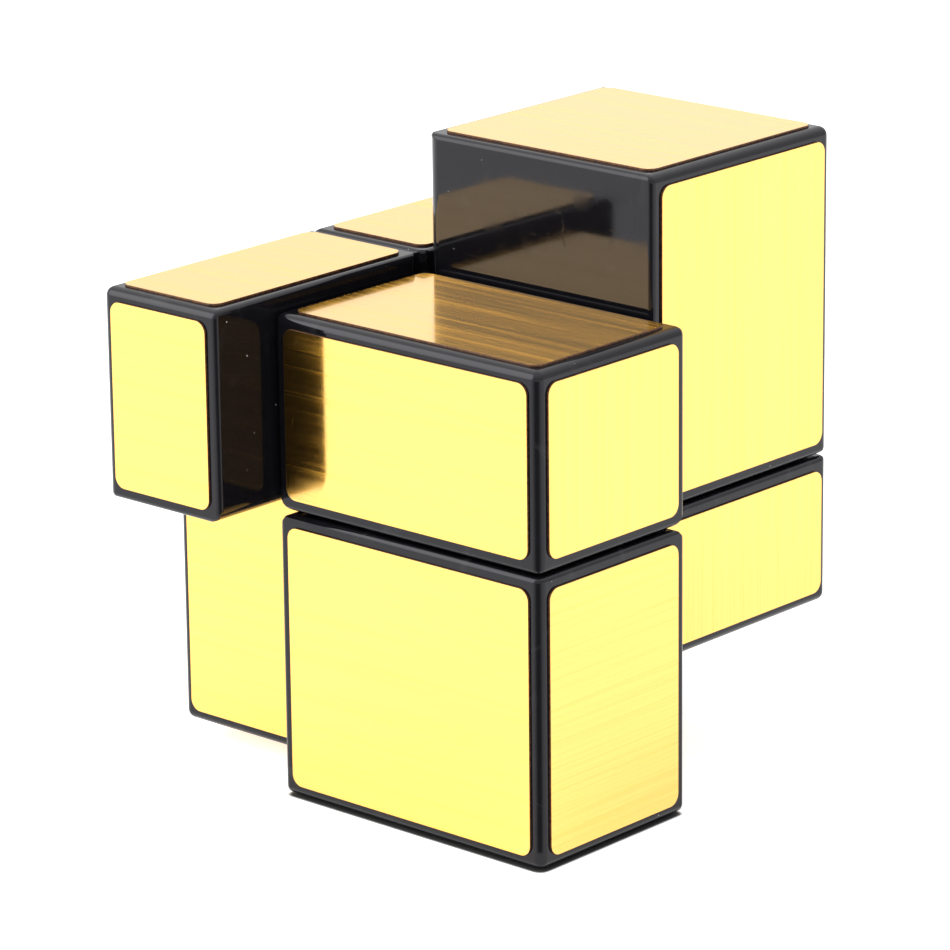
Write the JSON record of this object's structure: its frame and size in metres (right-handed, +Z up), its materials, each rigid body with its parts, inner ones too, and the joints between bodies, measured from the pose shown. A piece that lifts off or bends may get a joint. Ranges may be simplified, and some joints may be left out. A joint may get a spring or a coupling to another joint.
{
  "type": "mirror block cube puzzle",
  "caption": "Scrambled twisting cube puzzle of unequal black corner blocks with brushed gold films, on a hidden turning mechanism.",
  "frame": {"origin": "under the middle of the bounding box, at the level of the lowest face", "axes": "+Z up, +X to the right side, -Y to the front side; the three layer directions lie along X, Y and Z"},
  "size_m": [0.0544, 0.064, 0.064],
  "materials": {
    "black_plastic": "glossy black ABS",
    "gold_film": "brushed gold metallised film",
    "grey_plastic": "satin dark grey acetal, greased",
    "white_plastic": "satin off-white ABS",
    "screw_steel": "zinc-plated steel"
  },
  "bodies": {
    "core": {"core": "white_plastic", "screw_right": "screw_steel", "screw_left": "screw_steel", "screw_front": "screw_steel", "screw_back": "screw_steel", "screw_top": "screw_steel", "screw_bottom": "screw_steel"},
    "cap_right": {"centre_cap_right": "grey_plastic"},
    "cap_left": {"centre_cap_left": "grey_plastic"},
    "cap_front": {"centre_cap_front": "grey_plastic"},
    "cap_back": {"centre_cap_back": "grey_plastic"},
    "cap_top": {"centre_cap_top": "grey_plastic"},
    "cap_bottom": {"centre_cap_bottom": "grey_plastic"},
    "inner_edge_top_right": {"inner_edge_top_right": "grey_plastic"},
    "inner_edge_top_left": {"inner_edge_top_left": "grey_plastic"},
    "inner_edge_bottom_right": {"inner_edge_bottom_right": "grey_plastic"},
    "inner_edge_bottom_left": {"inner_edge_bottom_left": "grey_plastic"},
    "inner_edge_top_front": {"inner_edge_top_front": "grey_plastic"},
    "inner_edge_top_back": {"inner_edge_top_back": "grey_plastic"},
    "inner_edge_bottom_front": {"inner_edge_bottom_front": "grey_plastic"},
    "inner_edge_bottom_back": {"inner_edge_bottom_back": "grey_plastic"},
    "inner_edge_front_right": {"inner_edge_front_right": "grey_plastic"},
    "inner_edge_front_left": {"inner_edge_front_left": "grey_plastic"},
    "inner_edge_back_right": {"inner_edge_back_right": "grey_plastic"},
    "inner_edge_back_left": {"inner_edge_back_left": "grey_plastic"},
    "corner_top_front_right": {"block_top_front_right": "black_plastic", "film_top_front_right_on_top": "gold_film", "film_top_front_right_on_front": "gold_film", "film_top_front_right_on_right": "gold_film"},
    "corner_top_front_left": {"block_top_front_left": "black_plastic", "film_top_front_left_on_top": "gold_film", "film_top_front_left_on_front": "gold_film", "film_top_front_left_on_left": "gold_film"},
    "corner_top_back_right": {"block_top_back_right": "black_plastic", "film_top_back_right_on_top": "gold_film", "film_top_back_right_on_back": "gold_film", "film_top_back_right_on_right": "gold_film"},
    "corner_top_back_left": {"block_top_back_left": "black_plastic", "film_top_back_left_on_top": "gold_film", "film_top_back_left_on_back": "gold_film", "film_top_back_left_on_left": "gold_film"},
    "corner_bottom_front_right": {"block_bottom_front_right": "black_plastic", "film_bottom_front_right_on_bottom": "gold_film", "film_bottom_front_right_on_front": "gold_film", "film_bottom_front_right_on_right": "gold_film"},
    "corner_bottom_front_left": {"block_bottom_front_left": "black_plastic", "film_bottom_front_left_on_bottom": "gold_film", "film_bottom_front_left_on_front": "gold_film", "film_bottom_front_left_on_left": "gold_film"},
    "corner_bottom_back_right": {"block_bottom_back_right": "black_plastic", "film_bottom_back_right_on_bottom": "gold_film", "film_bottom_back_right_on_back": "gold_film", "film_bottom_back_right_on_right": "gold_film"},
    "corner_bottom_back_left": {"block_bottom_back_left": "black_plastic", "film_bottom_back_left_on_bottom": "gold_film", "film_bottom_back_left_on_back": "gold_film", "film_bottom_back_left_on_left": "gold_film"}
  },
  "joints": [
    {"name": "top_turn", "type": "hinge", "parent": "core", "child": "cap_top", "pos_m": [-0.007, -0.0022, 0.0298], "axis": [0, 0, 1], "continuous": true},
    {"name": "bottom_turn", "type": "hinge", "parent": "core", "child": "cap_bottom", "pos_m": [-0.007, -0.0022, 0.0298], "axis": [0, 0, 1], "continuous": true},
    {"name": "right_turn", "type": "hinge", "parent": "cap_bottom", "child": "inner_edge_bottom_right", "pos_m": [-0.007, -0.0022, 0.0298], "axis": [1, 0, 0], "continuous": true},
    {"name": "right_turn_of_cap", "type": "hinge", "parent": "core", "child": "cap_right", "pos_m": [-0.007, -0.0022, 0.0298], "axis": [1, 0, 0], "continuous": true},
    {"name": "right_turn_of_top_right_edge", "type": "hinge", "parent": "cap_top", "child": "inner_edge_top_right", "pos_m": [-0.007, -0.0022, 0.0298], "axis": [1, 0, 0], "continuous": true},
    {"name": "left_turn", "type": "hinge", "parent": "cap_bottom", "child": "inner_edge_bottom_left", "pos_m": [-0.007, -0.0022, 0.0298], "axis": [1, 0, 0], "continuous": true},
    {"name": "left_turn_of_cap", "type": "hinge", "parent": "core", "child": "cap_left", "pos_m": [-0.007, -0.0022, 0.0298], "axis": [1, 0, 0], "continuous": true},
    {"name": "left_turn_of_top_left_edge", "type": "hinge", "parent": "cap_top", "child": "inner_edge_top_left", "pos_m": [-0.007, -0.0022, 0.0298], "axis": [1, 0, 0], "continuous": true},
    {"name": "front_turn", "type": "hinge", "parent": "inner_edge_bottom_right", "child": "corner_bottom_front_right", "pos_m": [-0.007, -0.0022, 0.0298], "axis": [0, 1, 0], "continuous": true},
    {"name": "front_turn_of_cap", "type": "hinge", "parent": "core", "child": "cap_front", "pos_m": [-0.007, -0.0022, 0.0298], "axis": [0, 1, 0], "continuous": true},
    {"name": "front_turn_of_front_right_edge", "type": "hinge", "parent": "cap_right", "child": "inner_edge_front_right", "pos_m": [-0.007, -0.0022, 0.0298], "axis": [0, 1, 0], "continuous": true},
    {"name": "front_turn_of_front_left_edge", "type": "hinge", "parent": "cap_left", "child": "inner_edge_front_left", "pos_m": [-0.007, -0.0022, 0.0298], "axis": [0, 1, 0], "continuous": true},
    {"name": "front_turn_of_top_front_right_corner", "type": "hinge", "parent": "inner_edge_top_right", "child": "corner_top_front_right", "pos_m": [-0.007, -0.0022, 0.0298], "axis": [0, 1, 0], "continuous": true},
    {"name": "front_turn_of_top_front_left_corner", "type": "hinge", "parent": "inner_edge_top_left", "child": "corner_top_front_left", "pos_m": [-0.007, -0.0022, 0.0298], "axis": [0, 1, 0], "continuous": true},
    {"name": "front_turn_of_bottom_front_left_corner", "type": "hinge", "parent": "inner_edge_bottom_left", "child": "corner_bottom_front_left", "pos_m": [-0.007, -0.0022, 0.0298], "axis": [0, 1, 0], "continuous": true},
    {"name": "back_turn", "type": "hinge", "parent": "inner_edge_bottom_right", "child": "corner_bottom_back_right", "pos_m": [-0.007, -0.0022, 0.0298], "axis": [0, 1, 0], "continuous": true},
    {"name": "back_turn_of_cap", "type": "hinge", "parent": "core", "child": "cap_back", "pos_m": [-0.007, -0.0022, 0.0298], "axis": [0, 1, 0], "continuous": true},
    {"name": "back_turn_of_back_right_edge", "type": "hinge", "parent": "cap_right", "child": "inner_edge_back_right", "pos_m": [-0.007, -0.0022, 0.0298], "axis": [0, 1, 0], "continuous": true},
    {"name": "back_turn_of_back_left_edge", "type": "hinge", "parent": "cap_left", "child": "inner_edge_back_left", "pos_m": [-0.007, -0.0022, 0.0298], "axis": [0, 1, 0], "continuous": true},
    {"name": "back_turn_of_top_back_right_corner", "type": "hinge", "parent": "inner_edge_top_right", "child": "corner_top_back_right", "pos_m": [-0.007, -0.0022, 0.0298], "axis": [0, 1, 0], "continuous": true},
    {"name": "back_turn_of_top_back_left_corner", "type": "hinge", "parent": "inner_edge_top_left", "child": "corner_top_back_left", "pos_m": [-0.007, -0.0022, 0.0298], "axis": [0, 1, 0], "continuous": true},
    {"name": "back_turn_of_bottom_back_left_corner", "type": "hinge", "parent": "inner_edge_bottom_left", "child": "corner_bottom_back_left", "pos_m": [-0.007, -0.0022, 0.0298], "axis": [0, 1, 0], "continuous": true},
    {"name": "top_turn_of_top_front_edge", "type": "hinge", "parent": "cap_front", "child": "inner_edge_top_front", "pos_m": [-0.007, -0.0022, 0.0298], "axis": [0, 0, 1], "continuous": true},
    {"name": "top_turn_of_top_back_edge", "type": "hinge", "parent": "cap_back", "child": "inner_edge_top_back", "pos_m": [-0.007, -0.0022, 0.0298], "axis": [0, 0, 1], "continuous": true},
    {"name": "bottom_turn_of_bottom_front_edge", "type": "hinge", "parent": "cap_front", "child": "inner_edge_bottom_front", "pos_m": [-0.007, -0.0022, 0.0298], "axis": [0, 0, 1], "continuous": true},
    {"name": "bottom_turn_of_bottom_back_edge", "type": "hinge", "parent": "cap_back", "child": "inner_edge_bottom_back", "pos_m": [-0.007, -0.0022, 0.0298], "axis": [0, 0, 1], "continuous": true}
  ],
  "couplings": [
    {"joint": "right_turn_of_cap", "follows": "right_turn", "ratio": 1},
    {"joint": "right_turn_of_top_right_edge", "follows": "right_turn", "ratio": 1},
    {"joint": "left_turn_of_cap", "follows": "left_turn", "ratio": 1},
    {"joint": "left_turn_of_top_left_edge", "follows": "left_turn", "ratio": 1},
    {"joint": "front_turn_of_cap", "follows": "front_turn", "ratio": 1},
    {"joint": "front_turn_of_front_right_edge", "follows": "front_turn", "ratio": 1},
    {"joint": "front_turn_of_front_left_edge", "follows": "front_turn", "ratio": 1},
    {"joint": "front_turn_of_top_front_right_corner", "follows": "front_turn", "ratio": 1},
    {"joint": "front_turn_of_top_front_left_corner", "follows": "front_turn", "ratio": 1},
    {"joint": "front_turn_of_bottom_front_left_corner", "follows": "front_turn", "ratio": 1},
    {"joint": "back_turn_of_cap", "follows": "back_turn", "ratio": 1},
    {"joint": "back_turn_of_back_right_edge", "follows": "back_turn", "ratio": 1},
    {"joint": "back_turn_of_back_left_edge", "follows": "back_turn", "ratio": 1},
    {"joint": "back_turn_of_top_back_right_corner", "follows": "back_turn", "ratio": 1},
    {"joint": "back_turn_of_top_back_left_corner", "follows": "back_turn", "ratio": 1},
    {"joint": "back_turn_of_bottom_back_left_corner", "follows": "back_turn", "ratio": 1},
    {"joint": "top_turn_of_top_front_edge", "follows": "top_turn", "ratio": 1},
    {"joint": "top_turn_of_top_back_edge", "follows": "top_turn", "ratio": 1},
    {"joint": "bottom_turn_of_bottom_front_edge", "follows": "bottom_turn", "ratio": 1},
    {"joint": "bottom_turn_of_bottom_back_edge", "follows": "bottom_turn", "ratio": 1}
  ]
}
